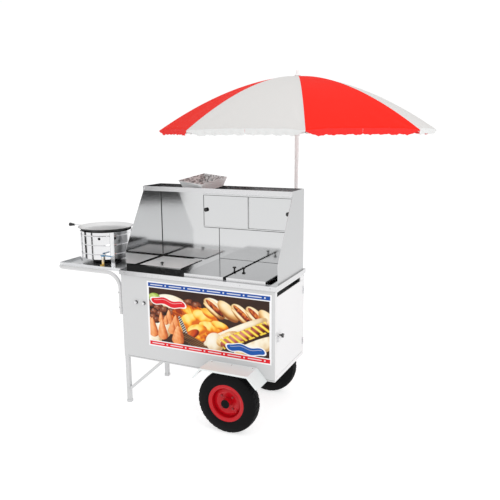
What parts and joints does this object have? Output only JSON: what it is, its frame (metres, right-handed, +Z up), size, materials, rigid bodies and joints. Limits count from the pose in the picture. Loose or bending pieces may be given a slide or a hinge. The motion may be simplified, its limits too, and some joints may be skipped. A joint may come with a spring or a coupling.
{
  "type": "push vending cart",
  "caption": "Two-wheeled street-food push cart with lidded hot wells, a stainless display case, a side shelf with a gas fryer, and a folding parasol in a rear socket.",
  "frame": {"origin": "bottom centre of the whole cart's bounding box, on the floor", "axes": "+X along the cart from the handle shelf to the service door, -Y the customer side, +Z up"},
  "size_m": [2.3326, 1.589, 2.112],
  "materials": {
    "painted_steel": "satin",
    "white_paint": "gloss",
    "black_plastic": "gloss",
    "bright_steel": "polished",
    "stainless": "polished",
    "cast_iron": "matte",
    "dark_steel": "satin",
    "red_paint": "gloss",
    "tyre_rubber": "matte",
    "aluminium_sheet": "satin",
    "blue_plastic": "gloss",
    "white_plastic": "gloss",
    "canopy_fabric": "woven"
  },
  "bodies": {
    "cart": {"leg_front": "painted_steel", "leg_back": "painted_steel", "front_panel": "painted_steel", "back_panel": "painted_steel", "left_panel": "painted_steel", "floor_panel": "painted_steel", "side_frame": "painted_steel", "door_hinges": "bright_steel", "fender_front": "painted_steel", "fender_back": "painted_steel", "countertop": "stainless", "pan_left": "stainless", "pan_right": "stainless", "gas_burner": "cast_iron", "axle": "dark_steel", "case_side_left": "stainless", "case_side_right": "stainless", "case_back": "stainless", "case_top": "stainless", "handle_frame": "white_paint", "shelf_tray": "aluminium_sheet", "fryer_stand": "stainless", "fryer_burner": "cast_iron", "parasol_socket": "white_paint"},
    "service_door": {"cabinet_door": "painted_steel", "door_catch": "black_plastic"},
    "knob_left": {"gas_knob_left": "bright_steel"},
    "knob_right": {"gas_knob_right": "bright_steel"},
    "lid_left": {"lid_left": "stainless"},
    "lid_middle": {"lid_middle": "stainless"},
    "lid_right": {"lid_right": "stainless"},
    "wheel_front": {"rim_front": "red_paint", "tyre_front": "tyre_rubber"},
    "wheel_back": {"rim_back": "red_paint", "tyre_back": "tyre_rubber"},
    "hatch_left": {"slide_door_left": "stainless"},
    "hatch_right": {"slide_door_right": "stainless"},
    "food_tray": {"food_tray": "aluminium_sheet"},
    "fryer_pan": {"fryer_pan": "aluminium_sheet"},
    "valve_lever": {"valve_lever": "blue_plastic"},
    "parasol": {"parasol_pole": "white_paint", "canopy": "canopy_fabric"},
    "runner": {"parasol_runner": "white_plastic"},
    "rib_1": {"rib_1": "bright_steel"},
    "strut_1": {"strut_1": "bright_steel"},
    "rib_2": {"rib_2": "bright_steel"},
    "strut_2": {"strut_2": "bright_steel"},
    "rib_3": {"rib_3": "bright_steel"},
    "strut_3": {"strut_3": "bright_steel"},
    "rib_4": {"rib_4": "bright_steel"},
    "strut_4": {"strut_4": "bright_steel"},
    "rib_5": {"rib_5": "bright_steel"},
    "strut_5": {"strut_5": "bright_steel"},
    "rib_6": {"rib_6": "bright_steel"},
    "strut_6": {"strut_6": "bright_steel"},
    "rib_7": {"rib_7": "bright_steel"},
    "strut_7": {"strut_7": "bright_steel"},
    "rib_8": {"rib_8": "bright_steel"},
    "strut_8": {"strut_8": "bright_steel"}
  },
  "joints": [
    {"name": "wheel_front_spin", "type": "hinge", "parent": "cart", "child": "wheel_front", "pos_m": [0.19573, -0.639, 0.19], "axis": [0, 1, 0], "continuous": true},
    {"name": "wheel_back_spin", "type": "hinge", "parent": "cart", "child": "wheel_back", "pos_m": [0.19573, -0.011, 0.19], "axis": [0, 1, 0], "continuous": true},
    {"name": "service_door_hinge", "type": "hinge", "parent": "cart", "child": "service_door", "pos_m": [0.46393, -0.092, 0.59], "axis": [0, 0, 1], "range_deg": [0, 170]},
    {"name": "gas_knob_left_turn", "type": "hinge", "parent": "cart", "child": "knob_left", "pos_m": [-0.48027, -0.57, 0.697], "axis": [0, -1, 0], "range_deg": [0, 90]},
    {"name": "gas_knob_right_turn", "type": "hinge", "parent": "cart", "child": "knob_right", "pos_m": [-0.42327, -0.57, 0.697], "axis": [0, -1, 0], "range_deg": [0, 90]},
    {"name": "hatch_left_slide", "type": "slide", "parent": "cart", "child": "hatch_left", "axis": [1, 0, 0], "range_m": [0, 0.13]},
    {"name": "hatch_right_slide", "type": "slide", "parent": "cart", "child": "hatch_right", "axis": [-1, 0, 0], "range_m": [0, 0.13]},
    {"name": "lid_left_lift", "type": "slide", "parent": "cart", "child": "lid_left", "axis": [0, 0, 1], "range_m": [0, 0.18]},
    {"name": "lid_middle_lift", "type": "slide", "parent": "cart", "child": "lid_middle", "axis": [0, 0, 1], "range_m": [0, 0.18]},
    {"name": "lid_right_lift", "type": "slide", "parent": "cart", "child": "lid_right", "axis": [0, 0, 1], "range_m": [0, 0.18]},
    {"name": "food_tray_lift", "type": "slide", "parent": "cart", "child": "food_tray", "axis": [0, 0, 1], "range_m": [0, 0.2]},
    {"name": "fryer_pan_lift", "type": "slide", "parent": "cart", "child": "fryer_pan", "axis": [0, 0, 1], "range_m": [0, 0.2]},
    {"name": "valve_lever_turn", "type": "hinge", "parent": "cart", "child": "valve_lever", "pos_m": [-0.76027, -0.524, 0.958], "axis": [0, 0, -1], "range_deg": [0, 90]},
    {"name": "parasol_lift", "type": "slide", "parent": "cart", "child": "parasol", "axis": [0, 0, 1], "range_m": [0, 0.45], "deforming": ["canopy"]},
    {"name": "runner_slide", "type": "slide", "parent": "parasol", "child": "runner", "axis": [0, 0, -1], "range_m": [0, 0.495]},
    {"name": "rib_1_hinge", "type": "hinge", "parent": "parasol", "child": "rib_1", "pos_m": [0.37939, -0.01848, 2.064], "axis": [0.9239, 0.3827, 0], "range_deg": [0, 68]},
    {"name": "rib_2_hinge", "type": "hinge", "parent": "parasol", "child": "rib_2", "pos_m": [0.39021, -0.00765, 2.064], "axis": [0.3827, 0.9239, 0], "range_deg": [0, 68]},
    {"name": "rib_3_hinge", "type": "hinge", "parent": "parasol", "child": "rib_3", "pos_m": [0.39021, 0.00765, 2.064], "axis": [-0.3827, 0.9239, 0], "range_deg": [0, 68]},
    {"name": "rib_4_hinge", "type": "hinge", "parent": "parasol", "child": "rib_4", "pos_m": [0.37939, 0.01848, 2.064], "axis": [-0.9239, 0.3827, 0], "range_deg": [0, 68]},
    {"name": "rib_5_hinge", "type": "hinge", "parent": "parasol", "child": "rib_5", "pos_m": [0.36408, 0.01848, 2.064], "axis": [-0.9239, -0.3827, 0], "range_deg": [0, 68]},
    {"name": "rib_6_hinge", "type": "hinge", "parent": "parasol", "child": "rib_6", "pos_m": [0.35325, 0.00765, 2.064], "axis": [-0.3827, -0.9239, 0], "range_deg": [0, 68]},
    {"name": "rib_7_hinge", "type": "hinge", "parent": "parasol", "child": "rib_7", "pos_m": [0.35325, -0.00765, 2.064], "axis": [0.3827, -0.9239, 0], "range_deg": [0, 68]},
    {"name": "rib_8_hinge", "type": "hinge", "parent": "parasol", "child": "rib_8", "pos_m": [0.36408, -0.01848, 2.064], "axis": [0.9239, -0.3827, 0], "range_deg": [0, 68]},
    {"name": "strut_1_hinge", "type": "hinge", "parent": "runner", "child": "strut_1", "pos_m": [0.38092, -0.02217, 1.756], "axis": [-0.9239, -0.3827, 0], "range_deg": [0, 50.5]},
    {"name": "strut_2_hinge", "type": "hinge", "parent": "runner", "child": "strut_2", "pos_m": [0.3939, -0.00918, 1.756], "axis": [-0.3827, -0.9239, 0], "range_deg": [0, 50.5]},
    {"name": "strut_3_hinge", "type": "hinge", "parent": "runner", "child": "strut_3", "pos_m": [0.3939, 0.00918, 1.756], "axis": [0.3827, -0.9239, 0], "range_deg": [0, 50.5]},
    {"name": "strut_4_hinge", "type": "hinge", "parent": "runner", "child": "strut_4", "pos_m": [0.38092, 0.02217, 1.756], "axis": [0.9239, -0.3827, 0], "range_deg": [0, 50.5]},
    {"name": "strut_5_hinge", "type": "hinge", "parent": "runner", "child": "strut_5", "pos_m": [0.36255, 0.02217, 1.756], "axis": [0.9239, 0.3827, 0], "range_deg": [0, 50.5]},
    {"name": "strut_6_hinge", "type": "hinge", "parent": "runner", "child": "strut_6", "pos_m": [0.34956, 0.00918, 1.756], "axis": [0.3827, 0.9239, 0], "range_deg": [0, 50.5]},
    {"name": "strut_7_hinge", "type": "hinge", "parent": "runner", "child": "strut_7", "pos_m": [0.34956, -0.00918, 1.756], "axis": [-0.3827, 0.9239, 0], "range_deg": [0, 50.5]},
    {"name": "strut_8_hinge", "type": "hinge", "parent": "runner", "child": "strut_8", "pos_m": [0.36255, -0.02217, 1.756], "axis": [-0.9239, 0.3827, 0], "range_deg": [0, 50.5]}
  ],
  "couplings": [
    {"joint": "runner_slide", "follows": "parasol_lift", "ratio": 1.0889},
    {"joint": "rib_1_hinge", "follows": "parasol_lift", "rad_per_m": 2.618},
    {"joint": "rib_2_hinge", "follows": "parasol_lift", "rad_per_m": 2.618},
    {"joint": "rib_3_hinge", "follows": "parasol_lift", "rad_per_m": 2.618},
    {"joint": "rib_4_hinge", "follows": "parasol_lift", "rad_per_m": 2.618},
    {"joint": "rib_5_hinge", "follows": "parasol_lift", "rad_per_m": 2.618},
    {"joint": "rib_6_hinge", "follows": "parasol_lift", "rad_per_m": 2.618},
    {"joint": "rib_7_hinge", "follows": "parasol_lift", "rad_per_m": 2.618},
    {"joint": "rib_8_hinge", "follows": "parasol_lift", "rad_per_m": 2.618},
    {"joint": "strut_1_hinge", "follows": "parasol_lift", "rad_per_m": 1.9392},
    {"joint": "strut_2_hinge", "follows": "parasol_lift", "rad_per_m": 1.9392},
    {"joint": "strut_3_hinge", "follows": "parasol_lift", "rad_per_m": 1.9392},
    {"joint": "strut_4_hinge", "follows": "parasol_lift", "rad_per_m": 1.9392},
    {"joint": "strut_5_hinge", "follows": "parasol_lift", "rad_per_m": 1.9392},
    {"joint": "strut_6_hinge", "follows": "parasol_lift", "rad_per_m": 1.9392},
    {"joint": "strut_7_hinge", "follows": "parasol_lift", "rad_per_m": 1.9392},
    {"joint": "strut_8_hinge", "follows": "parasol_lift", "rad_per_m": 1.9392}
  ]
}
